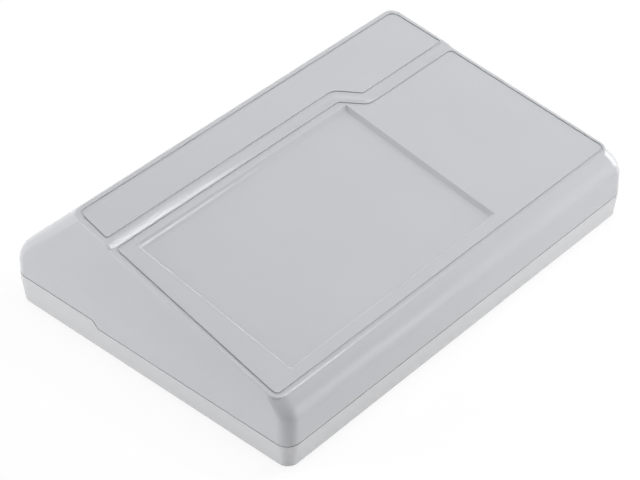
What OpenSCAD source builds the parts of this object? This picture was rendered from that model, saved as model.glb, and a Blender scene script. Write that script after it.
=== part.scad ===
// Desk console case: a shallow lower shell and a sloping upper shell with a keypad recess
// and a raised display strip, closed by four screws driven from below, on four rubber feet.
// The low front is at -Y, the high back at +Y, and the feet stand on Z = 0.

/* [Case] */
// Width over the side walls
case_w = 190; // [170:1:230]
// Depth from the front wall to the back wall
case_d = 136; // [126:1:160]
// Radius of the upright corners
corner_r = 5.6; // [4.5:0.1:8]
// Thickness of the moulded walls
wall = 2.5; // [2:0.1:3]

/* [Lower shell] */
// Height of the lower shell along its front
base_h = 10.4; // [9.5:0.1:14]
// Step up in the joint line towards the back
joint_step = 2.6; // [1.5:0.1:4]
// Distance from the back wall to the step in the joint line
joint_back = 44; // [32:1:56]
// Draft of the lower walls in degrees
base_draft = 5; // [2:0.5:7]
// Radius round the bottom edge
base_edge_r = 1; // [0.5:0.1:1.5]
// Height of the tongue that locates the upper shell
tongue_h = 1.6; // [1:0.1:2.5]
// Clearance between the tongue and its rebate
tongue_gap = 0.15; // [0.1:0.05:0.3]

/* [Upper shell] */
// Height of the upright band above the joint
band_h = 12.9; // [11:0.1:16]
// Draft of the upright band in degrees
band_draft = 1.2; // [0.5:0.1:2]
// Height of the front edge of the top above the band
front_rise = 4.8; // [4:0.1:7]
// Distance from the front wall to the front edge of the top
front_in = 6.8; // [5.5:0.1:9]
// Distance from the back wall to the back edge of the top
rear_in = 25.1; // [20:0.1:28]
// Slope of the top in degrees
slope = 10.8; // [9:0.1:13]
// Lean of the side walls above the band in degrees
side_lean = 17; // [12:0.5:20]
// Half height of the soft bend over the band, on the sides and the back
side_bend = 4.2; // [2:0.1:4.5]
// Half height of the soft bend over the band, on the front
front_bend = 3; // [2:0.1:3.5]
// Radius round the edge of the top
edge_r = 1.2; // [0.8:0.1:1.6]
// Radius of the corners of the top in plan
top_corner_r = 4.6; // [3:0.1:5]
// Width of the fine groove round each field
groove_w = 1; // [0.6:0.1:1.4]
// Depth of that groove
groove_depth = 0.5; // [0.3:0.1:0.7]
// Width of the ledge between the groove and the edge of the top, at the sides and the back
ledge_w = 2; // [1.8:0.1:3]
// Width of the same ledge along the front
front_ledge = 1.6; // [1.4:0.1:2.5]
// Width of the ledge between the rounded edge of the strip and its groove
strip_ledge = 1; // [0.8:0.1:2.1]
// Corner radius of the grooved fields beside the step between them
field_r = 1.5; // [1:0.1:2.5]
// Corner radius of the grooved panel at its front corners
panel_r = 2.4; // [1:0.1:3]
// Corner radius of the grooved strip at its back corners
strip_r = 3; // [1:0.1:4]
// Height of the shadow line along the joint
shadow_h = 0.4; // [0.2:0.1:0.6]
// Depth of the shadow line
shadow_depth = 0.5; // [0.3:0.1:0.8]

/* [Display strip] */
// Height of the display strip above the keypad panel
strip_rise = 0.95; // [0.6:0.05:1.4]
// Distance from the back edge of the top to the foot of the strip's long front edge
strip_d = 21.1; // [18:0.1:26]
// Run of the rounded front edge of the strip
strip_run = 3; // [2:0.1:4]
// Extra depth of the strip beside the keypad recess
jog = 8.3; // [5:0.1:10]

/* [Keypad recess] */
// Width of the recess at its top edge
recess_w = 110.8; // [90:0.1:118]
// Depth of the recess below the panel
recess_depth = 1.45; // [1.2:0.05:1.8]
// Distance from the left wall to the recess
recess_left = 15.6; // [15:0.1:24]
// Distance from the front edge of the top to the recess
recess_front = 6.3; // [5.5:0.1:12]
// Distance from the back of the recess to the foot of the strip
recess_back = 3.7; // [3.2:0.1:8]
// Corner radius of the recess
recess_r = 1; // [0.5:0.1:2]
// Height of the steep upper part of the recess's back wall
cove_top = 0.85; // [0.6:0.05:0.9]
// Run of that back wall from its top edge to the floor of the recess
cove_run = 2.2; // [1.8:0.1:3]

/* [Screws] */
// Distance of the case screws from the outer walls
screw_in = 10; // [9:0.5:14]
// Diameter of the screw head
head_d = 5.6; // [5:0.1:6.2]
// Height of the screw head
head_h = 2.2; // [1.8:0.1:2.6]
// Core diameter of the screw
core_d = 2.5; // [2:0.1:2.8]
// Length of the screw under its head
screw_len = 12; // [10:0.5:14]
// Thickness of the shoulder that the head pulls on
shoulder = 3; // [2:0.1:4]
// Outer diameter of the screw columns and bosses
boss_d = 9.4; // [9:0.1:11]

/* [Board posts] */
// Distance between the lower board posts across the case
board_w = 130; // [100:1:140]
// Distance between the lower board posts from front to back
board_d = 84; // [60:1:90]
// Height of the lower board posts above the floor
post_h = 5; // [3:0.5:8]
// Outer diameter of the board posts
post_d = 6; // [5:0.1:8]
// Diameter of the pilot holes in the posts
pilot_d = 2.1; // [1.6:0.1:2.6]

/* [Feet] */
// Diameter of the rubber feet
foot_d = 10; // [8:0.5:12]
// Height of a foot
foot_t = 2.1; // [1.6:0.1:3]
// Depth of the pocket that holds a foot
pocket_depth = 1; // [0.6:0.1:1.2]
// Distance of the feet from the side walls
foot_side = 25; // [22:1:40]
// Distance of the feet from the front and back walls
foot_end = 12; // [10:1:20]

/* [Hidden] */

// Segments of a quarter corner in the lofted skin, and of each rounded edge
corner_n = 7;
round_n = 5;
// Clearances: foot in its pocket, head in its counterbore, core in its pilot hole
foot_gap = 0.2;
head_gap = 0.6;
core_gap = 0.05;
hole_gap = 0.45;
// Overshoot of cutting bodies
over = 1;
web_t = 1.4;

// Levels. The feet carry the lower shell clear of the table.
base_z = foot_t - pocket_depth;
joint_z = base_z + base_h;
bend_z = joint_z + band_h;
front_z = bend_z + front_rise;
joint_step_y = case_d / 2 - joint_back;

// The top slopes up from its front edge to its back edge
front_y = -case_d / 2 + front_in;
rear_y = case_d / 2 - rear_in;
strip_lift = strip_rise / cos(slope);
function panel_z(y) = front_z + (y - front_y) * tan(slope);
top_z = panel_z(rear_y) + strip_lift;

// Inward run of each wall above the bend for each millimetre of height
band_in = band_h * tan(band_draft);
side_run = tan(side_lean);
front_run = (front_in - band_in) / front_rise;
rear_run = (rear_in - band_in) / (top_z - bend_z);
function half_w(z) = case_w / 2 - band_in - (z - bend_z) * side_run;

// Angle through which the surface turns from the top into each wall
side_turn = acos(sin(side_lean) * cos(slope));
front_turn = atan(1 / front_run) - slope;
rear_turn = atan(1 / rear_run) + slope;

// Soft bend: no run below it, a parabola through it, full run above it
function bent(h, len) = h <= -len ? 0 : h >= len ? h : pow(h + len, 2) / (4 * len);
function band_at(z) = (min(z, bend_z) - joint_z) * tan(band_draft);
function side_at(z) = band_at(z) + side_run * bent(z - bend_z, side_bend);
function front_at(z) = band_at(z) + front_run * bent(z - bend_z, front_bend);
function rear_at(z) = band_at(z) + rear_run * bent(z - bend_z, side_bend);

// The strip's front edge: a straight foot, a diagonal jog beside the recess, a second foot.
// A path at offset s lies s behind the foot, measured square to it.
foot_left_y = rear_y - strip_d;
foot_right_y = foot_left_y - jog;
recess_x0 = -case_w / 2 + recess_left;
recess_x1 = recess_x0 + recess_w;
recess_y0 = front_y + recess_front;
recess_y1 = foot_left_y - recess_back;
jog_clear = 2;
jog_sum = recess_x1 + recess_y1 + jog_clear * sqrt(2);
jog_in_r = 1.5;
jog_out_r = 6;
jog_a = [jog_sum - foot_left_y - jog_in_r * tan(22.5), foot_left_y - jog_in_r];
jog_b = [jog_sum - foot_right_y + jog_out_r * tan(22.5), foot_right_y + jog_out_r];
function arc(c, r, a0, a1, n) = [for (i = [0:n]) let (a = a0 + (a1 - a0) * i / n)
    [c[0] + r * cos(a), c[1] + r * sin(a)]];
function jog_path(s) = concat(arc(jog_a, jog_in_r + s, 90, 45, 4), arc(jog_b, jog_out_r - s, 225, 270, 4));

// The rounded front edge of the strip, as rows [offset, height over the panel]
edge_turn = 2 * atan(strip_rise / strip_run);
edge_rad = strip_run / sin(edge_turn);
rows = [for (j = [0:round_n]) let (a = edge_turn * (1 - j / round_n))
    [strip_run - edge_rad * sin(a), strip_rise - edge_rad * (1 - cos(a))]];
function row_z(y, j) = panel_z(y) + rows[j][1] / cos(slope);

// One ring of the outer skin: four corner arcs and the side points of the rows.
// It runs front left, front right, up the right side, back right, back left, down the left.
function corner_dir(c, i) = [225, 315, 45, 135][c] + 90 * (i / corner_n - 0.5);
function level_point(z, c, i) = let (a = corner_dir(c, i),
        sx = c == 1 || c == 2 ? 1 : -1, sy = c >= 2 ? 1 : -1,
        in_y = c >= 2 ? rear_at(z) : front_at(z))
    [sx * (case_w / 2 - side_at(z) - corner_r) + corner_r * cos(a),
     sy * (case_d / 2 - in_y - corner_r) + corner_r * sin(a), z];
function level_ring(z) = let (x = case_w / 2 - side_at(z)) concat(
    [for (c = [0:1], i = [0:corner_n]) level_point(z, c, i)],
    [for (j = [0:round_n]) [x, foot_right_y + rows[j][0], z]],
    [for (c = [2:3], i = [0:corner_n]) level_point(z, c, i)],
    [for (j = [round_n:-1:0]) [-x, foot_left_y + rows[j][0], z]]);

// Rounded edge of the top: f = 1 lies on the wall, f = 0 on the top
function edge_in(turn, f) = edge_r * (tan(turn / 2) - sin(f * turn));
function edge_drop(turn, f) = edge_r * (1 - cos(f * turn));
function edge_point(f, c, i) = let (a = corner_dir(c, i),
        sx = c == 1 || c == 2 ? 1 : -1, back = c >= 2,
        share = pow(cos(a), 2),
        turn = share * side_turn + (1 - share) * (back ? rear_turn : front_turn),
        cy = back ? rear_y - top_corner_r : front_y + top_corner_r,
        lift = back ? strip_lift : 0,
        cx = half_w(panel_z(cy) + lift) - top_corner_r,
        r = top_corner_r - edge_in(turn, f),
        y = cy + r * sin(a))
    [sx * cx + r * cos(a), y, panel_z(y) + lift - edge_drop(turn, f)];
function edge_side(f, sx, y0) = [for (j = [0:round_n]) let (y = y0 + rows[j][0])
    [sx * (half_w(row_z(y, j)) - edge_in(side_turn, f)), y, row_z(y, j) - edge_drop(side_turn, f)]];
function turned(list) = [for (i = [len(list) - 1:-1:0]) list[i]];
function edge_ring(f) = concat(
    [for (c = [0:1], i = [0:corner_n]) edge_point(f, c, i)],
    edge_side(f, 1, foot_right_y),
    [for (c = [2:3], i = [0:corner_n]) edge_point(f, c, i)],
    turned(edge_side(f, -1, foot_left_y)));

// Inner points of the rows, along the jog
function row_inner(j) = [for (p = jog_path(rows[j][0])) [p[0], p[1], row_z(p[1], j)]];

// A point as seen in the panel's own frame, where the panel lies at Z = 0
function seen_from_panel(p) = let (y = p[1] - front_y, z = p[2] - front_z)
    [p[0], y * cos(slope) + z * sin(slope), z * cos(slope) - y * sin(slope)];

// Outer skin of the upper shell, lofted from the joint to the top
module skin() {
    bend_levels = [for (k = [0:8]) bend_z + side_bend * (k / 4 - 1)];
    rings = concat([level_ring(joint_z - over)], [for (z = bend_levels) level_ring(z)],
        [for (k = [round_n:-1:0]) edge_ring(k / round_n)]);
    n = len(rings[0]);
    m = len(rings);
    inner = len(row_inner(0));
    first_inner = m * n;
    // The bottom, the panel and the strip are each filled from a point of their own
    hub = first_inner + (round_n + 1) * inner;
    panel_y = (front_y + foot_right_y) / 2;
    strip_y = (foot_left_y + strip_run + rear_y) / 2;
    points = concat([for (r = rings) each r], [for (j = [0:round_n]) each row_inner(j)],
        [[0, 0, joint_z - over], [jog_b[0], panel_y, panel_z(panel_y)], [jog_a[0], strip_y, row_z(strip_y, round_n)]]);
    last = (m - 1) * n;
    front_n = 2 * (corner_n + 1);
    back_n = front_n + round_n + 1;
    left_n = back_n + front_n;
    right_at = function (j) last + front_n + j;
    left_at = function (j) last + left_n + round_n - j;
    path = function (j) concat([left_at(j)], [for (i = [0:inner - 1]) first_inner + j * inner + i], [right_at(j)]);
    fan = function (loop, middle) [for (i = [0:len(loop) - 1]) [loop[(i + 1) % len(loop)], loop[i], middle]];
    walls = [for (k = [0:m - 2], i = [0:n - 1]) let (a = k * n + i, b = k * n + (i + 1) % n)
        each [[a, b + n, b], [a, a + n, b + n]]];
    strips = [for (j = [0:round_n - 1]) let (p = path(j), q = path(j + 1))
        for (i = [0:len(p) - 2]) each [[p[i], q[i], q[i + 1]], [p[i], q[i + 1], p[i + 1]]]];
    bottom = fan([for (i = [n - 1:-1:0]) i], hub);
    panel = fan(concat([for (i = [0:front_n - 1]) last + i], turned(path(0))), hub + 1);
    strip = fan(concat(path(round_n), [for (i = [0:front_n - 1]) last + back_n + i]), hub + 2);
    faces = concat(bottom, walls, strips, panel, strip);
    on_panel()
        polyhedron([for (p = points) seen_from_panel(p)], faces, convexity = 6);
}

// A rounded rectangle of the case's outline, t inside it
module outline(t) {
    r = corner_r - t;
    w = case_w - 2 * t;
    d = case_d - 2 * t;
    square([w - 2 * r, d], center = true);
    square([w, d - 2 * r], center = true);
    for (x = [-1, 1], y = [-1, 1])
        translate([x * (w / 2 - r), y * (d / 2 - r)])
            circle(r, $fn = 48);
}

// Everything below the stepped joint, raised by lift
module below_joint(lift = 0) {
    far = case_d;
    z = joint_z + lift;
    y = joint_step_y - lift * tan(22.5);
    rotate([90, 0, 90])
        linear_extrude(case_w + 4 * over, center = true)
            polygon([[-far, z], [y, z], [y + joint_step, z + joint_step], [far, z + joint_step],
                [far, -over], [-far, -over]]);
}

// Four hull corners at one level; the point of each cone lies inside the body
module level_corners(z, side, front, rear, r, dir = -1) {
    for (x = [-1, 1], y = [-1, 1])
        translate([x * (case_w / 2 - side - r), y * (case_d / 2 - (y < 0 ? front : rear) - r), z])
            rotate([dir < 0 ? 180 : 0, 0, 0])
                cylinder(h = 0.5, r1 = r, r2 = 0, $fn = 32);
}

// Places children on the panel: X across, Y up the slope from the front edge, Z square to it
module on_panel(lift = 0) {
    translate([0, front_y, front_z])
        rotate([slope, 0, 0])
            translate([0, 0, lift])
                children();
}
function up_slope(y) = (y - front_y) / cos(slope);

// Hollow of the upper shell, lofted through three rings, the last under the sloping top
inner_n = 3;
inner_tip_r = 1.5;
function inner_z(y) = panel_z(y) - wall / cos(slope);
function inner_corner(c, i, cx, cy, r) = let (a = [225, 315, 45, 135][c] + 90 * (i / inner_n - 0.5))
    [(c == 1 || c == 2 ? 1 : -1) * cx + r * cos(a), cy + r * sin(a)];
function inner_level(z, inset) = let (r = corner_r - wall, cx = case_w / 2 - inset - r, cy = case_d / 2 - inset - r)
    [for (c = [0:3], i = [0:inner_n]) let (p = inner_corner(c, i, cx, c < 2 ? -cy : cy, r)) [p[0], p[1], z]];
function inner_top() = let (r = inner_tip_r,
        y0 = front_y + wall * tan(front_turn / 2) + r,
        y1 = rear_y - wall * tan(rear_turn / 2) - r)
    [for (c = [0:3], i = [0:inner_n])
        let (cy = c < 2 ? y0 : y1,
            cx = half_w(inner_z(cy)) - wall / cos(side_lean) - r,
            p = inner_corner(c, i, cx, cy, r))
        [p[0], p[1], inner_z(p[1])]];
module upper_hollow() {
    rings = [inner_level(joint_z - 2 * over, wall), inner_level(bend_z - over, wall + band_in), inner_top()];
    n = len(rings[0]);
    sides = [for (k = [0:1], i = [0:n - 1]) let (a = k * n + i, b = k * n + (i + 1) % n)
        each [[a, b + n, b], [a, a + n, b + n]]];
    ends = [[for (i = [0:n - 1]) i], [for (i = [n - 1:-1:0]) 2 * n + i]];
    polyhedron([for (r = rings) each r], concat(sides, ends), convexity = 4);
}

// A tapered block under the panel, grown by t, with 45 degree walls, reaching back by more
module recess_block(t, top, more = 0) {
    depth = recess_depth + t;
    grow = t > 0 ? wall : 0;
    back_y = up_slope(recess_y1) + grow + more;
    on_panel()
        hull()
            for (level = [[top, top], [-depth, -depth]])
                for (x = [recess_x0 - grow, recess_x1 + grow], y = [up_slope(recess_y0) - grow, back_y]) {
                    sx = x < (recess_x0 + recess_x1) / 2 ? 1 : -1;
                    sy = y < up_slope((recess_y0 + recess_y1) / 2) ? 1 : -1;
                    r = recess_r;
                    translate([x + sx * (r - level[1]), y + sy * (r - level[1]), level[0]])
                        cylinder(h = 0.02, r = r, $fn = 24);
                }
}

// The recess: its back wall falls steeply, turns in a narrow cove and runs out to the floor
steep = 56;
cove_w = 0.3;
cove_drop = 0.23;
module recess() {
    back_y = up_slope(recess_y1);
    steep_run = cove_top / tan(steep);
    intersection() {
        recess_block(0, over, 3 * over);
        on_panel()
            rotate([90, 0, 90])
                linear_extrude(case_w, center = true)
                    polygon([[0, 2 * over], [0, -wall], [back_y - cove_run, -wall],
                        [back_y - cove_run, -recess_depth],
                        [back_y - steep_run - cove_w, -cove_top - cove_drop],
                        [back_y - steep_run, -cove_top], [back_y, 0], [back_y, 2 * over]]);
    }
}

// Outlines of the two grooved fields, seen square to the panel, grown by g
function field_corner(x, y, r, a0) = arc([x, y], r, a0, a0 + 90, 4);
function panel_field(g) = let (
        y0 = front_y + front_ledge,
        x0 = half_w(panel_z(y0)) - ledge_w,
        x1 = half_w(panel_z(foot_left_y)) - ledge_w,
        x2 = half_w(panel_z(foot_right_y)) - ledge_w,
        r = field_r + g, q = field_r, p = panel_r, s = -groove_w)
    concat(
        field_corner(-x0 + p, y0 + p, p + g, 180),
        field_corner(x0 - p, y0 + p, p + g, 270),
        field_corner(x2 - q, foot_right_y + s - q, r, 0),
        turned(jog_path(s + g)),
        field_corner(-x1 + q, foot_left_y + s - q, r, 90));
function strip_field(g) = let (
        s = strip_run + strip_ledge,
        ya = foot_left_y + s, yb = foot_right_y + s, y1 = rear_y - ledge_w,
        xa = half_w(row_z(ya, round_n)) - ledge_w,
        xb = half_w(row_z(yb, round_n)) - ledge_w,
        x1 = half_w(top_z) - ledge_w,
        r = field_r + g, q = field_r, p = strip_r)
    concat(
        jog_path(s - g),
        field_corner(xb - q, yb + q, r, 270),
        field_corner(x1 - p, y1 - p, p + g, 0),
        field_corner(-x1 + p, y1 - p, p + g, 90),
        field_corner(-xa + q, ya + q, r, 180));
module groove(outer, inner) {
    linear_extrude(2 * groove_depth, center = true)
        difference() {
            polygon([for (p = outer) [p[0], up_slope(p[1])]]);
            polygon([for (p = inner) [p[0], up_slope(p[1])]]);
        }
}
module grooves() {
    half = groove_w / 2;
    on_panel()
        groove(panel_field(half), panel_field(-half));
    on_panel(strip_rise)
        groove(strip_field(half), strip_field(-half));
}

// Places children at the four case screws
module at_screws() {
    for (x = [-1, 1], y = [-1, 1])
        translate([x * (case_w / 2 - screw_in), y * (case_d / 2 - screw_in), 0])
            children();
}

// Places children at the four lower board posts
module at_posts() {
    for (x = [-1, 1], y = [-1, 1])
        translate([x * board_w / 2, y * board_d / 2, 0])
            children();
}

// Webs that tie a screw column to the nearest walls, between two levels
module webs(z0, z1) {
    for (x = [-1, 1], y = [-1, 1])
        translate([x * (case_w / 2 - screw_in), y * (case_d / 2 - screw_in), z0]) {
            translate([x > 0 ? 0 : -screw_in, -web_t / 2, 0])
                cube([screw_in, web_t, z1 - z0]);
            translate([-web_t / 2, y > 0 ? 0 : -screw_in, 0])
                cube([web_t, screw_in, z1 - z0]);
        }
}

// Boss posts under the recess for a keypad board, square to the panel
key_in = 8;
key_post_h = 6;
module at_key_posts() {
    on_panel(-recess_depth - wall)
        for (x = [recess_x0 + key_in, recess_x1 - key_in],
            y = [up_slope(recess_y0) + key_in, up_slope(recess_y1) - key_in])
            translate([x, y, 0])
                children();
}

// Outer form of the upper shell, solid inside
module upper_block() {
    difference() {
        difference() {
            skin();
            below_joint();
        }
        // Shadow line along the joint
        difference() {
            below_joint(shadow_h);
            linear_extrude(top_z)
                outline(shadow_depth);
        }
        recess();
        grooves();
    }
}

// Space inside the upper shell, with its bosses, webs and posts left out
module upper_space() {
    difference() {
        upper_hollow();
        recess_block(wall, -wall);
        at_screws()
            translate([0, 0, joint_z - 2 * over])
                cylinder(h = top_z, d = boss_d, $fn = 48);
        webs(joint_z + joint_step + tongue_h + over, top_z);
        at_key_posts()
            translate([0, 0, -key_post_h])
                cylinder(h = key_post_h + over, d = post_d, $fn = 48);
    }
}

// Rebate in the upper wall over the tongue of the lower shell
module rebate() {
    intersection() {
        below_joint(tongue_h + tongue_gap);
        difference() {
            linear_extrude(top_z)
                outline(wall / 2 - tongue_gap);
            at_screws()
                cylinder(h = top_z, d = boss_d, $fn = 48);
        }
    }
}

module upper_shell() {
    pilot_top = joint_z + screw_len - shoulder + 2;
    color("lightgray")
        difference() {
            difference() {
                upper_block();
                upper_space();
            }
            rebate();
            // Pilot holes
            at_screws()
                translate([0, 0, joint_z - over])
                    cylinder(h = pilot_top - joint_z + over, d = core_d + 2 * core_gap, $fn = 32);
            at_key_posts()
                translate([0, 0, -key_post_h - over])
                    cylinder(h = key_post_h + over, d = pilot_d, $fn = 32);
        }
}

module lower_shell() {
    draft_in = base_h * tan(base_draft);
    floor_z = base_z + wall;
    color("lightgray")
        difference() {
            union() {
                intersection() {
                    hull() {
                        for (x = [-1, 1], y = [-1, 1])
                            translate([x * (case_w / 2 - corner_r), y * (case_d / 2 - corner_r), base_z + base_edge_r])
                                rotate_extrude($fn = 32)
                                    translate([corner_r - draft_in - base_edge_r, 0])
                                        circle(base_edge_r, $fn = 16);
                        level_corners(joint_z, 0, 0, 0, corner_r);
                        level_corners(joint_z + joint_step, 0, 0, 0, corner_r);
                    }
                    below_joint();
                }
                // Tongue that stands inside the upper wall
                intersection() {
                    below_joint(tongue_h);
                    translate([0, 0, joint_z - over])
                        linear_extrude(top_z)
                            difference() {
                                outline(wall / 2);
                                outline(wall);
                            }
                }
            }
            difference() {
                hull() {
                    level_corners(floor_z, wall + draft_in, wall + draft_in, wall + draft_in, corner_r - wall, 1);
                    level_corners(joint_z, wall, wall, wall, corner_r - wall);
                    level_corners(joint_z + joint_step + tongue_h + over, wall, wall, wall, corner_r - wall);
                }
                at_screws()
                    cylinder(h = joint_z, d = boss_d, $fn = 48);
                webs(0, joint_z - over);
                at_posts()
                    cylinder(h = floor_z + post_h, d = post_d, $fn = 48);
            }
            // Counterbores and screw holes
            at_screws() {
                cylinder(h = joint_z - shoulder, d = head_d + 2 * head_gap, $fn = 48);
                cylinder(h = joint_z + over, d = core_d + 2 * hole_gap, $fn = 32);
            }
            at_posts()
                translate([0, 0, floor_z])
                    cylinder(h = post_h + over, d = pilot_d, $fn = 32);
            at_feet()
                translate([0, 0, base_z - over])
                    cylinder(h = pocket_depth + over, d = foot_d + 2 * foot_gap, $fn = 48);
        }
}

module case_screws() {
    head_z = joint_z - shoulder;
    slot_w = 0.9;
    slot_l = 3;
    slot_deep = 1.2;
    color("silver")
        at_screws()
            translate([0, 0, head_z])
                difference() {
                    union() {
                        translate([0, 0, -head_h])
                            cylinder(h = head_h, d1 = head_d - 1, d2 = head_d, $fn = 48);
                        cylinder(h = screw_len - core_d / 2, d = core_d, $fn = 32);
                        translate([0, 0, screw_len - core_d / 2])
                            cylinder(h = core_d / 2, d1 = core_d, d2 = core_d / 4, $fn = 32);
                    }
                    for (a = [0, 90])
                        rotate([0, 0, a])
                            translate([-slot_l / 2, -slot_w / 2, -head_h - over])
                                cube([slot_l, slot_w, slot_deep + over]);
                }
}

// Places children at the four feet
foot_x = case_w / 2 - foot_side;
foot_y = case_d / 2 - foot_end;
module at_feet() {
    for (x = [-1, 1], y = [-1, 1])
        translate([x * foot_x, y * foot_y, 0])
            children();
}

// A rubber foot with a bevelled lower edge
module foot() {
    bevel = 0.5;
    cylinder(h = bevel, d1 = foot_d - 2 * bevel, d2 = foot_d, $fn = 48);
    translate([0, 0, bevel])
        cylinder(h = foot_t - bevel, d = foot_d, $fn = 48);
}
module foot_front_left() {
    color("dimgray") translate([-foot_x, -foot_y, 0]) foot();
}
module foot_front_right() {
    color("dimgray") translate([foot_x, -foot_y, 0]) foot();
}
module foot_rear_left() {
    color("dimgray") translate([-foot_x, foot_y, 0]) foot();
}
module foot_rear_right() {
    color("dimgray") translate([foot_x, foot_y, 0]) foot();
}

lower_shell();
upper_shell();
case_screws();
foot_front_left();
foot_front_right();
foot_rear_left();
foot_rear_right();
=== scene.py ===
# %% [markdown]
# This lesson dresses a desk console case: a light grey moulding with a low front, a sloping
# top, a shallow keypad recess and a raised display strip. The solids come from the packed
# model, so every dimension is settled before Blender starts. What is left for Blender is
# what a photograph shows and a solid does not: softened edges, the fine texture of moulded
# plastic, rubber, plated steel, and the light of a small studio.

import math

import bmesh
import bpy
from mathutils import Matrix, Vector


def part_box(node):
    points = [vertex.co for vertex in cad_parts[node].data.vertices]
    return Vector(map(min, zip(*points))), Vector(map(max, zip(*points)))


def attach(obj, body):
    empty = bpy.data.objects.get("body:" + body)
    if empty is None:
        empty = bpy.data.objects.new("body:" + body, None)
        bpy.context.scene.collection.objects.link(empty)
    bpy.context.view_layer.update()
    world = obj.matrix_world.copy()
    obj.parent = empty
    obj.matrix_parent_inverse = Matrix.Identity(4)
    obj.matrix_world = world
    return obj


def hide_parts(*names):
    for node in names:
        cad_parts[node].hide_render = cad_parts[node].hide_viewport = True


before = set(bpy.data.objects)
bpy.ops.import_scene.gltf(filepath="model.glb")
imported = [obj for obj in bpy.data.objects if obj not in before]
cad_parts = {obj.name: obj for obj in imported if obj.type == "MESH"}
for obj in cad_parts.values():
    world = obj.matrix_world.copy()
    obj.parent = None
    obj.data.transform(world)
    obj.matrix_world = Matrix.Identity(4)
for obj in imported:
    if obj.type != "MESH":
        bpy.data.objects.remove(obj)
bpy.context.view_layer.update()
MM = 0.001
scene = bpy.context.scene
print("nodes:", sorted(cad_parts))

# %% [markdown]
# The camera comes first, because everything after it is judged through it. The photograph
# was taken from the front left with a long lens, looking down at about forty degrees. A long
# lens keeps the case's edges nearly parallel. The place and the angles were found by fitting
# the case's own straight edges to those in the photograph.

# %% Camera
CAMERA_AZIMUTH = math.radians(-47.996)
CAMERA_ELEVATION = math.radians(39.595)
CAMERA_ROLL = math.radians(-0.077)
CAMERA_PLACE = Vector((-474.48, -423.98, 533.82)) * MM
CAMERA_LENS = 123.67
SENSOR_WIDTH = 36

lens = bpy.data.cameras.new("photo_lens")
lens.sensor_fit = "HORIZONTAL"
lens.sensor_width = SENSOR_WIDTH
lens.lens = CAMERA_LENS
lens.clip_start = 0.05
lens.clip_end = 20
camera = bpy.data.objects.new("photo_camera", lens)
scene.collection.objects.link(camera)
back = Vector((
    math.sin(CAMERA_AZIMUTH) * math.cos(CAMERA_ELEVATION),
    -math.cos(CAMERA_AZIMUTH) * math.cos(CAMERA_ELEVATION),
    math.sin(CAMERA_ELEVATION),
))
level = Vector((math.cos(CAMERA_AZIMUTH), math.sin(CAMERA_AZIMUTH), 0))
upright = back.cross(level)
right = level * math.cos(CAMERA_ROLL) + upright * math.sin(CAMERA_ROLL)
up = upright * math.cos(CAMERA_ROLL) - level * math.sin(CAMERA_ROLL)
turn = Matrix((right, up, back)).transposed().to_4x4()
camera.matrix_world = Matrix.Translation(CAMERA_PLACE) @ turn
scene.camera = camera
print("camera at", [round(v, 3) for v in camera.location], "lens", CAMERA_LENS)

# %% [markdown]
# Shader formulas read best as formulas. The small class below wraps one socket of a node
# tree, so that `1 - mask * 0.2` adds the Math nodes by itself. Every other node comes from
# one method that takes the node's type, its settings, and what goes into its sockets. A list
# links several values into one socket, which only a node that joins things allows. The same
# two classes serve materials here and Geometry Nodes trees further on.

# %% Writing shaders as expressions
class Flow:
    """A value on its way through one tree of nodes."""

    def __init__(self, tree, socket):
        self.tree = tree
        self.socket = socket

    def math(self, operation, other, swap=False):
        first, second = (other, self) if swap else (self, other)
        sockets = {0: first, 1: second}
        return Recipe(self.tree).node("ShaderNodeMath", {"operation": operation}, sockets)["Value"]

    def __add__(self, other):
        return self.math("ADD", other)

    def __sub__(self, other):
        return self.math("SUBTRACT", other)

    def __mul__(self, other):
        return self.math("MULTIPLY", other)

    def __truediv__(self, other):
        return self.math("DIVIDE", other)

    def __rsub__(self, other):
        return self.math("SUBTRACT", other, swap=True)

    def __rtruediv__(self, other):
        return self.math("DIVIDE", other, swap=True)

    __radd__ = __add__
    __rmul__ = __mul__


class Recipe:
    """Adds nodes to one material or one Geometry Nodes tree."""

    def __init__(self, tree):
        self.tree = tree

    def node(self, kind, settings=None, sockets=None):
        made = self.tree.nodes.new(kind)
        for name, value in (settings or {}).items():
            setattr(made, name, value)
        for name, value in (sockets or {}).items():
            items = value if isinstance(value, list) else [value]
            for item in items:
                if isinstance(item, Flow):
                    self.tree.links.new(item.socket, made.inputs[name])
                else:
                    made.inputs[name].default_value = item
        return {s.name: Flow(self.tree, s) for s in reversed(made.outputs) if s.enabled}

    def mix(self, factor, first, second):
        sockets = {0: factor, 6: first, 7: second}
        return self.node("ShaderNodeMix", {"data_type": "RGBA"}, sockets)["Result"]

    def noise(self, size, detail, roughness):
        place = self.node("ShaderNodeTexCoord")["Object"]
        sockets = {"Vector": place, "Scale": 1 / size, "Detail": detail, "Roughness": roughness}
        return self.node("ShaderNodeTexNoise", {"noise_dimensions": "3D"}, sockets)["Fac"]


def new_material(name):
    material = bpy.data.materials.new(name)
    material.use_nodes = True
    material.node_tree.nodes.clear()
    return material, Recipe(material.node_tree)


print("expression helper ready")

# %% [markdown]
# Injection-moulded ABS copies the surface of its steel mould, which is etched with a fine
# even grain so that fingerprints and flow marks don't show. The grain is far too fine to
# model, so it is a bump made of noise. The colour is almost constant: a real moulding only
# varies by a few percent, in the grain itself and in soft clouds where the melt cooled
# unevenly. Both also change the gloss a little, evenly to both sides of its middle value.

# %% Moulded plastic
GRAIN_SIZE = 0.45 * MM
GRAIN_DEPTH = 0.03 * MM
CLOUD_SIZE = 26 * MM
DARKEST_TINT = 0.955
LIGHTEST_TINT = 1.03
CLOUD_DULLS = 0.05
GRAIN_DULLS = 0.06


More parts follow.
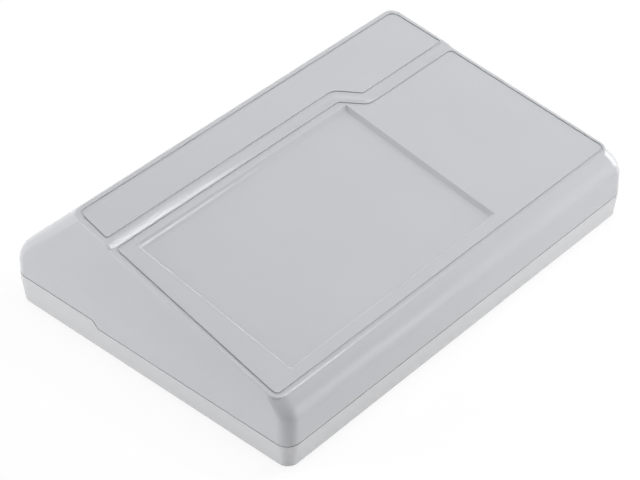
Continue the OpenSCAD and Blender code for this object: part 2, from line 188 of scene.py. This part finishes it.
def moulded_plastic(name, colour, roughness):
    material, recipe = new_material(name)
    grain = recipe.noise(GRAIN_SIZE, 2.0, 0.55)
    cloud = recipe.noise(CLOUD_SIZE, 2.0, 0.5)
    darker = tuple(c * DARKEST_TINT for c in colour) + (1,)
    lighter = tuple(c * LIGHTEST_TINT for c in colour) + (1,)
    glossiest = roughness - (CLOUD_DULLS + GRAIN_DULLS) / 2
    relief = {"Strength": 0.35, "Distance": GRAIN_DEPTH, "Height": grain}
    shader = recipe.node(
        "ShaderNodeBsdfPrincipled", None,
        {
            "Base Color": recipe.mix(cloud * 0.5 + grain * 0.5, darker, lighter),
            "Roughness": cloud * CLOUD_DULLS + grain * GRAIN_DULLS + glossiest,
            "IOR": 1.5,
            "Specular IOR Level": 0.45,
            "Normal": recipe.node("ShaderNodeBump", None, relief)["Normal"],
        },
    )["BSDF"]
    recipe.node("ShaderNodeOutputMaterial", None, {"Surface": shader})
    return material


PLASTIC_ROUGHNESS = 0.21
upper_plastic = moulded_plastic("upper_mould_plastic", (0.600, 0.608, 0.630), PLASTIC_ROUGHNESS)
lower_plastic = moulded_plastic("lower_mould_plastic", (0.675, 0.678, 0.690), PLASTIC_ROUGHNESS)
print("made", upper_plastic.name, "and", lower_plastic.name)

# %% [markdown]
# The case screws are zinc plated. The plating is a little cloudy and slightly blue, so the
# colour of the metal and its roughness both follow one soft noise. A metal needs no bump
# here, because a change of roughness alone already breaks up its reflections.

# %% Plated steel
PLATING_CLOUD_SIZE = 0.9 * MM


def plated_steel(name):
    material, recipe = new_material(name)
    cloud = recipe.noise(PLATING_CLOUD_SIZE, 3.0, 0.6)
    tint = recipe.mix(cloud, (0.50, 0.51, 0.53, 1), (0.66, 0.66, 0.66, 1))
    shader = recipe.node(
        "ShaderNodeBsdfPrincipled", None,
        {"Base Color": tint, "Metallic": 1.0, "Roughness": cloud * 0.2 + 0.22},
    )["BSDF"]
    recipe.node("ShaderNodeOutputMaterial", None, {"Surface": shader})
    return material


screw_steel = plated_steel("zinc_plating")
print("made", screw_steel.name)

# %% [markdown]
# The feet are moulded rubber: nearly black, dull and a little dusty. Dust lies in patches,
# so the same noise lightens the colour, roughens the sheen and raises a faint bump.

# %% Rubber
DUST_SIZE = 1.4 * MM
DUST_DEPTH = 0.05 * MM


def foot_rubber(name):
    material, recipe = new_material(name)
    dust = recipe.noise(DUST_SIZE, 4.0, 0.65)
    tint = recipe.mix(dust, (0.018, 0.018, 0.02, 1), (0.055, 0.054, 0.052, 1))
    relief = {"Strength": 0.5, "Distance": DUST_DEPTH, "Height": dust}
    bump = recipe.node("ShaderNodeBump", None, relief)["Normal"]
    shader = recipe.node(
        "ShaderNodeBsdfPrincipled", None,
        {"Base Color": tint, "Roughness": dust * 0.15 + 0.7, "Normal": bump},
    )["BSDF"]
    recipe.node("ShaderNodeOutputMaterial", None, {"Surface": shader})
    return material


rubber = foot_rubber("dusty_rubber")
print("made", rubber.name)

# %% [markdown]
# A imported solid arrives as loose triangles. To round its edges, the triangles of a copy are
# joined, flat areas are turned back into single faces, and a Bevel modifier rounds whatever
# still meets at a marked angle. Weighted normals keep the broad faces flat right up to the
# rounding, which is what makes a moulding look moulded instead of folded from card.

# %% Softened copies of the solids
JOIN_DISTANCE = 0.002 * MM
FLAT_ANGLE = math.radians(0.3)
SHARP_ANGLE = math.radians(28)
ROUNDING_STEPS = 2
BROAD_FACE_WEIGHT = 80


def softened(node, name, material, radius):
    mesh = bpy.data.meshes.new(name)
    work = bmesh.new()
    work.from_mesh(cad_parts[node].data)
    bmesh.ops.remove_doubles(work, verts=work.verts, dist=JOIN_DISTANCE)
    bmesh.ops.dissolve_degenerate(work, edges=work.edges, dist=JOIN_DISTANCE)
    bmesh.ops.dissolve_limit(work, angle_limit=FLAT_ANGLE, verts=work.verts, edges=work.edges)
    for face in work.faces:
        face.smooth = True
    work.to_mesh(mesh)
    work.free()
    mesh.materials.clear()
    mesh.materials.append(material)
    mesh.set_sharp_from_angle(angle=SHARP_ANGLE)
    piece = bpy.data.objects.new(name, mesh)
    scene.collection.objects.link(piece)
    bevel = piece.modifiers.new("edge_rounding", "BEVEL")
    bevel.width = radius
    bevel.segments = ROUNDING_STEPS
    bevel.limit_method = "ANGLE"
    bevel.angle_limit = SHARP_ANGLE
    bevel.miter_outer = "MITER_ARC"
    bevel.use_clamp_overlap = True
    weigh = piece.modifiers.new("flat_faces", "WEIGHTED_NORMAL")
    weigh.mode = "FACE_AREA"
    weigh.weight = BROAD_FACE_WEIGHT
    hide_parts(node)
    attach(piece, "root")
    return piece


print("edge rounding ready, edges sharper than", round(math.degrees(SHARP_ANGLE)), "degrees")

# %% [markdown]
# The case itself is two mouldings. They meet in the fine shadow line that runs round the
# case, and they come from two moulds, so each has its own batch of plastic. Both keep the
# form of their solids exactly and only get rounded edges and their finish.

# %% Upper and lower moulding
EDGE_ROUNDING = 0.14 * MM

upper = softened("upper_shell", "upper_moulding", upper_plastic, EDGE_ROUNDING)
lower = softened("lower_shell", "lower_moulding", lower_plastic, EDGE_ROUNDING)
print("faces:", len(upper.data.polygons), "and", len(lower.data.polygons))

# %% [markdown]
# Four equal screws and four equal feet are a job for Geometry Nodes: one recipe, a few
# named sizes, and as many copies as the object has. These helpers open a tree with its
# named inputs, move what it makes, close it in the way that an export needs, and turn the
# result into a plain mesh. An input is set by the identifier of its socket, because names
# may repeat.

# %% Growing pieces with Geometry Nodes
def open_tree(name, sizes):
    tree = bpy.data.node_groups.new(name, "GeometryNodeTree")
    tree.is_modifier = True
    tree.interface.new_socket("Geometry", in_out="INPUT", socket_type="NodeSocketGeometry")
    for label in sizes:
        tree.interface.new_socket(label, in_out="INPUT", socket_type="NodeSocketFloat")
    tree.interface.new_socket("Geometry", in_out="OUTPUT", socket_type="NodeSocketGeometry")
    recipe = Recipe(tree)
    return tree, recipe, recipe.node("NodeGroupInput")


def close_tree(recipe, geometry, material):
    solid = recipe.node("GeometryNodeRealizeInstances", None, {"Geometry": geometry})["Geometry"]
    paint = {"Geometry": solid, "Material": material}
    painted = recipe.node("GeometryNodeSetMaterial", None, paint)["Geometry"]
    recipe.node("NodeGroupOutput", None, {"Geometry": painted})


def moved(recipe, geometry, offset):
    sockets = {"Geometry": geometry, "Translation": offset}
    return recipe.node("GeometryNodeTransform", None, sockets)["Geometry"]


def grown(name, tree, seed_mesh, sizes, material):
    seed = bpy.data.objects.new(name + "_seed", seed_mesh)
    scene.collection.objects.link(seed)
    growth = seed.modifiers.new("growth", "NODES")
    growth.node_group = tree
    for item in tree.interface.items_tree:
        if item.in_out == "INPUT" and item.name in sizes:
            growth[item.identifier] = sizes[item.name]
    ready = seed.evaluated_get(bpy.context.evaluated_depsgraph_get())
    mesh = bpy.data.meshes.new_from_object(ready)
    bpy.data.objects.remove(seed)
    mesh.name = name
    mesh.materials.clear()
    mesh.materials.append(material)
    for polygon in mesh.polygons:
        polygon.material_index = 0
    piece = bpy.data.objects.new(name, mesh)
    scene.collection.objects.link(piece)
    return piece


print("Geometry Nodes helpers ready")

# %% [markdown]
# Each screw is turned on a lathe in real life, and so is the mesh: half of its outline, in
# distances from the axis and heights, is spun round in steps. Height 0 is the face that
# pulls on the shoulder in the lower shell, and the domed head hangs below it. The dome and
# the tip are quarters of an ellipse, so a formula sets their points.

# %% Screw blank
HEAD_DIAMETER = 5.6 * MM
HEAD_HEIGHT = 2.2 * MM
HEAD_FLAT_RADIUS = 0.9 * MM
HEAD_RIM = 0.25 * MM
HEAD_CHAMFER = 0.09 * MM
CORE_DIAMETER = 2.5 * MM
CORE_FILLET = 0.2 * MM
SCREW_LENGTH = 12 * MM
TIP_LENGTH = 1.3 * MM
TIP_FLAT_RADIUS = 0.2 * MM
LATHE_STEPS = 40


def quarter_round(middle, across, along, start, steps=6):
    turns = [math.radians(start + 90 * k / steps) for k in range(steps + 1)]
    return [(middle[0] + across * math.cos(t), middle[1] + along * math.sin(t)) for t in turns]


def screw_outline():
    head = HEAD_DIAMETER / 2
    core = CORE_DIAMETER / 2
    dome_middle = (HEAD_FLAT_RADIUS, -HEAD_RIM)
    tip_middle = (TIP_FLAT_RADIUS, SCREW_LENGTH - TIP_LENGTH)
    return [
        (0, -HEAD_HEIGHT),
        *quarter_round(dome_middle, head - HEAD_FLAT_RADIUS, HEAD_HEIGHT - HEAD_RIM, -90),
        (head, -HEAD_CHAMFER),
        (head - HEAD_CHAMFER, 0),
        (core + CORE_FILLET, 0),
        (core, CORE_FILLET),
        *quarter_round(tip_middle, core - TIP_FLAT_RADIUS, TIP_LENGTH, 0),
        (0, SCREW_LENGTH),
    ]


def closed_mesh(name, work):
    bmesh.ops.recalc_face_normals(work, faces=work.faces)
    mesh = bpy.data.meshes.new(name)
    work.to_mesh(mesh)
    work.free()
    return mesh


def lathed(name, outline, steps):
    work = bmesh.new()
    turns = [2 * math.pi * k / steps for k in range(steps)]
    rings = []
    for r, z in outline:
        if r == 0:
            rings.append([work.verts.new((0, 0, z))] * steps)
        else:
            rings.append([work.verts.new((r * math.cos(t), r * math.sin(t), z)) for t in turns])
    for low, high in zip(rings, rings[1:]):
        for k in range(steps):
            n = (k + 1) % steps
            corners = dict.fromkeys((low[k], low[n], high[n], high[k]))
            work.faces.new(list(corners))
    return closed_mesh(name, work)


blank_mesh = lathed("screw_blank", screw_outline(), LATHE_STEPS)
print("the screw blank has", len(blank_mesh.polygons), "faces")

# %% [markdown]
# The cross recess is pressed into the head by a tapered punch. Two tapered bars, one turned
# against the other, stand for the punch, and a Boolean modifier for each bar takes it away.
# The bars start a little outside the head, because a cut that begins exactly in the surface
# can leave loose slivers.

# %% Cross recess
RECESS_LENGTH = 3.2 * MM
RECESS_WIDTH = 0.85 * MM
RECESS_DEPTH = 1.15 * MM
TAPER_OF_LENGTH = 0.55
TAPER_OF_WIDTH = 0.7
CUT_OUTSIDE = 0.2 * MM


def tapered_bar(name, outer, inner, z_outer, z_inner):
    work = bmesh.new()
    corners = []
    for (length, width), z in ((outer, z_outer), (inner, z_inner)):
        for x, y in ((-1, -1), (1, -1), (1, 1), (-1, 1)):
            corners.append(work.verts.new((x * length / 2, y * width / 2, z)))
    a, b = corners[:4], corners[4:]
    sides = [[a[k], a[(k + 1) % 4], b[(k + 1) % 4], b[k]] for k in range(4)]
    for face in [a, b] + sides:
        work.faces.new(face)
    return closed_mesh(name, work)


blank = bpy.data.objects.new("screw_blank", blank_mesh)
scene.collection.objects.link(blank)
outer = (RECESS_LENGTH, RECESS_WIDTH)
inner = (RECESS_LENGTH * TAPER_OF_LENGTH, RECESS_WIDTH * TAPER_OF_WIDTH)
z_outer = -HEAD_HEIGHT - CUT_OUTSIDE
z_inner = -HEAD_HEIGHT + RECESS_DEPTH
bars = []
for order in (1, -1):
    bar_mesh = tapered_bar("recess_bar", outer[::order], inner[::order], z_outer, z_inner)
    bar = bpy.data.objects.new("recess_bar", bar_mesh)
    scene.collection.objects.link(bar)
    cut = blank.modifiers.new("cross_recess", "BOOLEAN")
    cut.operation = "DIFFERENCE"
    cut.solver = "EXACT"
    cut.object = bar
    bars.append(bar)
cut_blank = blank.evaluated_get(bpy.context.evaluated_depsgraph_get())
screw_mesh = bpy.data.meshes.new_from_object(cut_blank)
for helper in [blank] + bars:
    bpy.data.objects.remove(helper)
for polygon in screw_mesh.polygons:
    polygon.use_smooth = True
screw_mesh.set_sharp_from_angle(angle=SHARP_ANGLE)
print("one screw has", len(screw_mesh.polygons), "faces")

# %% [markdown]
# A thread is a ridge that climbs round the core. Here it is a small diamond swept along a
# spiral of constant radius, half sunk into the core, so that only its sharp crest stands
# out. The tree is opened here with all its sizes, and the next cell goes on with it.

# %% Thread
THREAD_START = 1.4 * MM
THREAD_LENGTH = 9.1 * MM
THREAD_PITCH = 1.3 * MM
THREAD_SIZE = 0.36 * MM
STEPS_PER_TURN = 24
DIAMOND_CORNERS = 4

screw_sizes = (
    "Across", "Deep", "Level", "Core radius", "Thread start", "Thread length", "Pitch", "Thread size",
)
tree, recipe, sizes = open_tree("four_screws", screw_sizes)
spiral = recipe.node(
    "GeometryNodeCurveSpiral", None,
    {
        "Resolution": STEPS_PER_TURN,
        "Rotations": sizes["Thread length"] / sizes["Pitch"],
        "Start Radius": sizes["Core radius"],
        "End Radius": sizes["Core radius"],
        "Height": sizes["Thread length"],
    },
)["Curve"]
steady_spiral = recipe.node("GeometryNodeSetCurveNormal", {"mode": "Z_UP"}, {"Curve": spiral})["Curve"]
diamond = recipe.node(
    "GeometryNodeCurvePrimitiveCircle", None,
    {"Resolution": DIAMOND_CORNERS, "Radius": sizes["Thread size"]},
)["Curve"]
thread = recipe.node(
    "GeometryNodeCurveToMesh", None,
    {"Curve": steady_spiral, "Profile Curve": diamond, "Fill Caps": True},
)["Mesh"]
thread_lift = recipe.node("ShaderNodeCombineXYZ", None, {"Z": sizes["Thread start"]})["Vector"]
placed_thread = moved(recipe, thread, thread_lift)
print("thread of", round(THREAD_LENGTH / THREAD_PITCH, 1), "turns")

# %% [markdown]
# The rest of the tree joins the thread to the screw and sets it at the corners of a
# rectangle. Nobody drives four screws to the same angle, so each one is turned by a random
# amount from a fixed seed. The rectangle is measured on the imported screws, so it can't
# drift from the holes in the lower shell.

# %% Screw set
TURN_SEED = 7

one_screw = recipe.node(
    "GeometryNodeJoinGeometry", None, {"Geometry": [placed_thread, sizes["Geometry"]]},
)["Geometry"]
rectangle = recipe.node(
    "GeometryNodeMeshGrid", None,
    {"Size X": sizes["Across"], "Size Y": sizes["Deep"], "Vertices X": 2, "Vertices Y": 2},
)["Mesh"]
turned = recipe.node(
    "FunctionNodeRandomValue", {"data_type": "FLOAT_VECTOR"},
    {"Min": (0, 0, 0), "Max": (0, 0, 2 * math.pi), "Seed": TURN_SEED},
)["Value"]
copies = recipe.node(
    "GeometryNodeInstanceOnPoints", None,
    {"Points": rectangle, "Instance": one_screw, "Rotation": turned},
)["Instances"]
screw_lift = recipe.node("ShaderNodeCombineXYZ", None, {"Z": sizes["Level"]})["Vector"]
close_tree(recipe, moved(recipe, copies, screw_lift), screw_steel)
screw_low, screw_high = (Vector(c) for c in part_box("case_screws"))
screws = grown(
    "case_screw_set", tree, screw_mesh,
    {
        "Across": screw_high.x - screw_low.x - HEAD_DIAMETER,
        "Deep": screw_high.y - screw_low.y - HEAD_DIAMETER,
        "Level": screw_low.z + HEAD_HEIGHT,
        "Core radius": CORE_DIAMETER / 2,
        "Thread start": THREAD_START,
        "Thread length": THREAD_LENGTH,
        "Pitch": THREAD_PITCH,
        "Thread size": THREAD_SIZE,
    },
    screw_steel,
)
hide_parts("case_screws")
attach(screws, "root")
print("four screws with", len(screws.data.polygons), "faces")

# %% [markdown]
# A stick-on foot is a short disc with a rounded rim where it meets the table. The tree
# starts from a cylinder with many rings and pulls the lowest rings in along a quarter
# circle. For a rim of radius e, a ring at height h is pulled in by e minus the root of e
# squared less (e - h) squared, and rings above the rim stay where they are.

# %% Foot recipe
FOOT_SIDES = 56
FOOT_RINGS = 28

tree, recipe, sizes = open_tree("rubber_foot", ("Diameter", "Height", "Rim", "Place X", "Place Y"))
radius = sizes["Diameter"] / 2
rim = sizes["Rim"]
disc = recipe.node(
    "GeometryNodeMeshCylinder", {"fill_type": "NGON"},
    {"Vertices": FOOT_SIDES, "Side Segments": FOOT_RINGS, "Radius": radius, "Depth": sizes["Height"]},
)["Mesh"]
position = recipe.node("GeometryNodeInputPosition")["Position"]
here = recipe.node("ShaderNodeSeparateXYZ", None, {"Vector": position})
height = here["Z"] + sizes["Height"] / 2
below_rim = (rim - height).math("MAXIMUM", 0.0)
pulled = rim - (rim * rim - below_rim * below_rim).math("POWER", 0.5)
share = 1 - pulled / radius
spot = recipe.node(
    "ShaderNodeCombineXYZ", None,
    {"X": here["X"] * share + sizes["Place X"], "Y": here["Y"] * share + sizes["Place Y"], "Z": height},
)["Vector"]
foot_form = recipe.node("GeometryNodeSetPosition", None, {"Geometry": disc, "Position": spot})["Geometry"]
close_tree(recipe, foot_form, rubber)
print("a foot has", FOOT_RINGS, "rings")

# %% [markdown]
# The same tree now makes all four feet. Each foot takes its width, height and place from
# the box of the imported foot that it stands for, so it sits in its pocket in the lower shell
# and all four stand on one level.

# %% Rubber feet
FOOT_RIM = 0.6 * MM

for corner in ("front_left", "front_right", "rear_left", "rear_right"):
    node = "foot_" + corner
    low, high = (Vector(c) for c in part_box(node))
    middle = (low + high) / 2
    foot = grown(
        "rubber_" + node, tree, bpy.data.meshes.new("empty_seed"),
        {
            "Diameter": high.x - low.x,
            "Height": high.z - low.z,
            "Rim": FOOT_RIM,
            "Place X": middle.x,
            "Place Y": middle.y,
        },
        rubber,
    )
    for polygon in foot.data.polygons:
        polygon.use_smooth = True
    foot.data.set_sharp_from_angle(angle=SHARP_ANGLE)
    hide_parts(node)
    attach(foot, "root")
    print(foot.name, "is", round((high.x - low.x) / MM, 2), "mm wide")

# %% [markdown]
# The photograph is a catalogue picture: white right up to the case, with hardly a trace of
# shadow, as if the ground had been whitened afterwards. A Light Path node does the same
# here. It tells the rays that come from the camera from the rays that carry light. The
# camera sees mostly plain white, while the case is lit by a pale paint that glows a little
# by itself. A small share of the real paint stays in view, so the case still touches down.

# %% Floor
FLOOR_HALF = 3.0
FLOOR_GLOW = 0.185
SPECKS_PER_METRE = 30
WHITENED_SHARE = 0.85
WHITE = (1, 1, 1, 1)


def seen_white(recipe, real, share):
    white = recipe.node("ShaderNodeEmission", None, {"Color": WHITE, "Strength": 1.0})["Emission"]
    seen = recipe.node("ShaderNodeLightPath")["Is Camera Ray"]
    return recipe.node("ShaderNodeMixShader", None, {0: seen * share, 1: real, 2: white})["Shader"]


floor_mesh = bpy.data.meshes.new("floor")
floor_corners = [(x * FLOOR_HALF, y * FLOOR_HALF, 0) for x, y in ((-1, -1), (1, -1), (1, 1), (-1, 1))]
floor_mesh.from_pydata(floor_corners, [], [(0, 1, 2, 3)])
floor = bpy.data.objects.new("floor", floor_mesh)
scene.collection.objects.link(floor)
floor_paint, recipe = new_material("floor_paint")
speck = recipe.noise(1 / SPECKS_PER_METRE, 2.0, 0.5)
floor_shader = recipe.node(
    "ShaderNodeBsdfPrincipled", None,
    {
        "Base Color": recipe.mix(speck, (0.86, 0.86, 0.86, 1), (0.88, 0.88, 0.88, 1)),
        "Roughness": 0.9,
        "Emission Color": WHITE,
        "Emission Strength": FLOOR_GLOW,
    },
)["BSDF"]
whitened = seen_white(recipe, floor_shader, WHITENED_SHARE)
recipe.node("ShaderNodeOutputMaterial", None, {"Surface": whitened})
floor_mesh.materials.append(floor_paint)
print("floor", FLOOR_HALF * 2, "m across")

# %% [markdown]
# The walls of the case show how the studio was lit. The rounded front corner is the darkest
# place and the two walls beside it are almost as bright as the top, so the light comes low
# from both ends and not from the camera's side. Each of these lamps is a broad disc on a
# dome round the case, given by its compass angle, its height in degrees, its width and its
# power in watts. Broad discs keep every change of tone soft, and a glossy top that happens
# to mirror one shows a gentle sheen instead of a white patch.

# %% Soft light
DOME_RADIUS = 1.3
HIGH_LAMP_SIZE = 1.1
LOW_LAMP_SIZE = 0.8


def soft_lamp(name, place, size, power, aim=(0, 0, 0)):
    data = bpy.data.lights.new(name, "AREA")
    data.shape = "DISK"
    data.size = size
    data.energy = power
    lamp = bpy.data.objects.new(name, data)
    scene.collection.objects.link(lamp)
    lamp.location = place
    lamp.rotation_mode = "QUATERNION"
    lamp.rotation_quaternion = (place - Vector(aim)).to_track_quat("Z", "Y")


def on_dome(azimuth, elevation):
    a, e = math.radians(azimuth), math.radians(elevation)
    outwards = Vector((math.sin(a) * math.cos(e), -math.cos(a) * math.cos(e), math.sin(e)))
    return outwards * DOME_RADIUS


for name, azimuth, elevation, size, power in (
    ("top", 0, 90, HIGH_LAMP_SIZE, 7.4),
    ("back_left_low", -130, 16, LOW_LAMP_SIZE, 8.75),
    ("front_low", 20, 16, LOW_LAMP_SIZE, 1.97),
    ("front_right_low", 45, 16, LOW_LAMP_SIZE, 1.52),
    ("right_front_low", 60, 16, LOW_LAMP_SIZE, 0.94),
    ("right_low", 75, 16, LOW_LAMP_SIZE, 7.06),
    ("back_left_high", -135, 38, HIGH_LAMP_SIZE, 0.96),
    ("back_right_high", 140, 38, HIGH_LAMP_SIZE, 0.78),
    ("back_high", 180, 38, HIGH_LAMP_SIZE, 1.89),
):
    soft_lamp(name + "_lamp", on_dome(azimuth, elevation), size, power)

# %% [markdown]
# Broad lamps alone leave a moulding dull. In the photograph a bright line runs along the
# rounded front of the display strip, the back wall of the keypad recess and the front edge,
# and fades from left to right. Three small lamps close by make it. Each hangs where the
# camera sees it mirrored in one spot near the left end, in a surface that leans forward by
# about thirty degrees. Because the lamps are close, the mirror rule soon fails further right.
# The spots are places on the case in millimetres. Distances and lamp sizes are in metres.

# %% Edge light
EDGE_AIM = Vector((-40, -10, 40)) * MM


def mirrored(spot, lean, distance):
    spot = Vector(spot) * MM
    facing = Vector((0, -math.sin(math.radians(lean)), math.cos(math.radians(lean))))
    to_camera = (CAMERA_PLACE - spot).normalized()
    return spot + distance * (2 * facing.dot(to_camera) * facing - to_camera)


for name, spot, lean, distance, size, power in (
    ("front_edge", (-61, -61, 29.5), 30, 0.59, 0.07, 0.30),
    ("strip_edge", (-85, 22, 46), 35, 0.55, 0.06, 0.22),
    ("recess_edge", (-79, 14, 43.5), 26.5, 0.55, 0.06, 0.22),
):
    soft_lamp(name + "_lamp", mirrored(spot, lean, distance), size, power, EDGE_AIM)

# %% [markdown]
# Past the edge of the floor the picture has to stay white too. The world round the scene
# gives no light at all, so it can't flatten the shading, and only the camera sees it as
# white. The Standard view keeps that white plain and shows every tone as it is lit.

# %% White surroundings
world = bpy.data.worlds.new("studio")
world.use_nodes = True
world.node_tree.nodes.clear()
recipe = Recipe(world.node_tree)
unlit = recipe.node("ShaderNodeBackground", None, {"Color": WHITE, "Strength": 0.0})["Background"]
recipe.node("ShaderNodeOutputWorld", None, {"Surface": seen_white(recipe, unlit, 1.0)})
scene.world = world
scene.view_settings.view_transform = "Standard"
print("world:", world.name, "seen through the", scene.view_settings.view_transform, "view")
